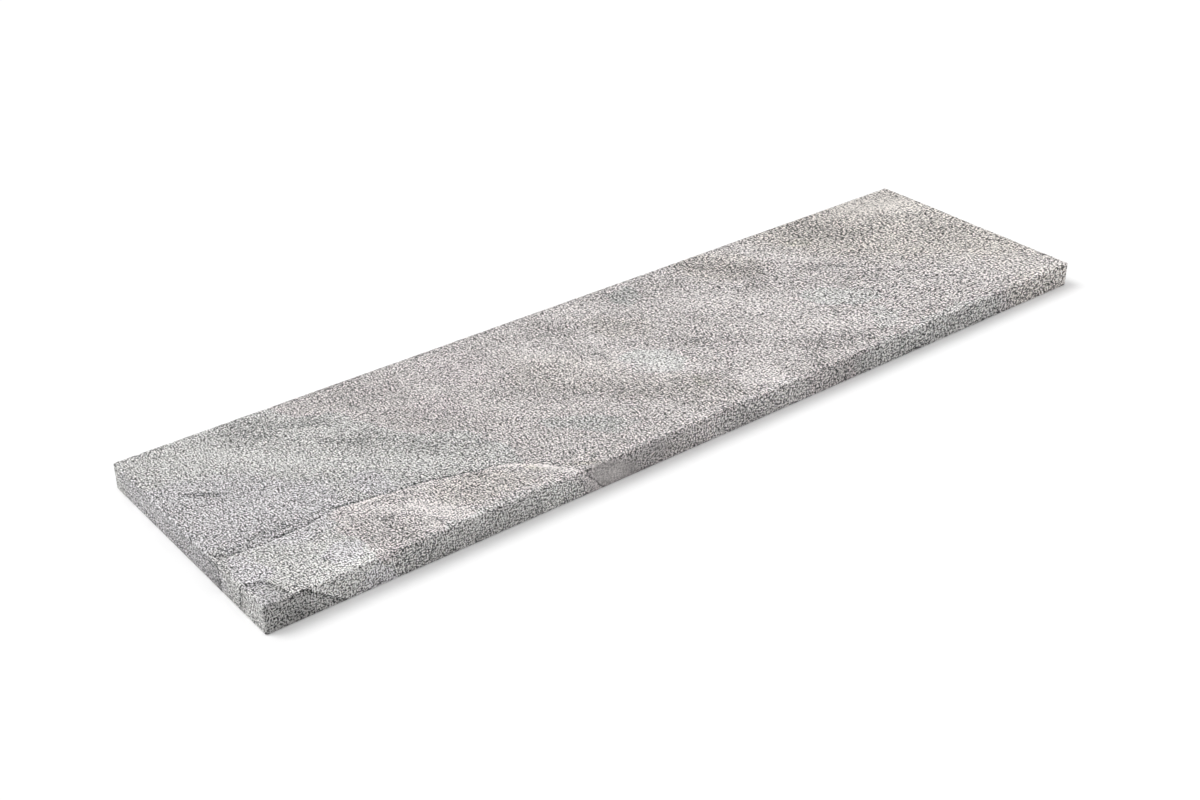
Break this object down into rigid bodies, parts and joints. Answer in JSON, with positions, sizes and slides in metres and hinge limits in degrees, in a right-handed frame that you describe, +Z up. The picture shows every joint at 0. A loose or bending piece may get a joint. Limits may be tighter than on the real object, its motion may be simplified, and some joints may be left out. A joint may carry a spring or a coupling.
{
  "type": "stair tread",
  "caption": "Flat rectangular stone stair tread of even thickness, sawn from one slab, with lightly rounded edges and a rough, speckled grey to beige walking face.",
  "frame": {"origin": "middle of the underside, on the floor the tread lies on", "axes": "+X along the tread, across the flight; -Y towards the nosing at the front and +Y towards the back edge; +Z up, out of the walking face"},
  "size_m": [1.1, 0.3, 0.03],
  "materials": {
    "stone": "rough, flamed granite-like stone with fine grains, cloudy grey to beige bands and a few thin clefts"
  },
  "bodies": {
    "root": {"stair_tread": "stone"}
  },
  "joints": []
}
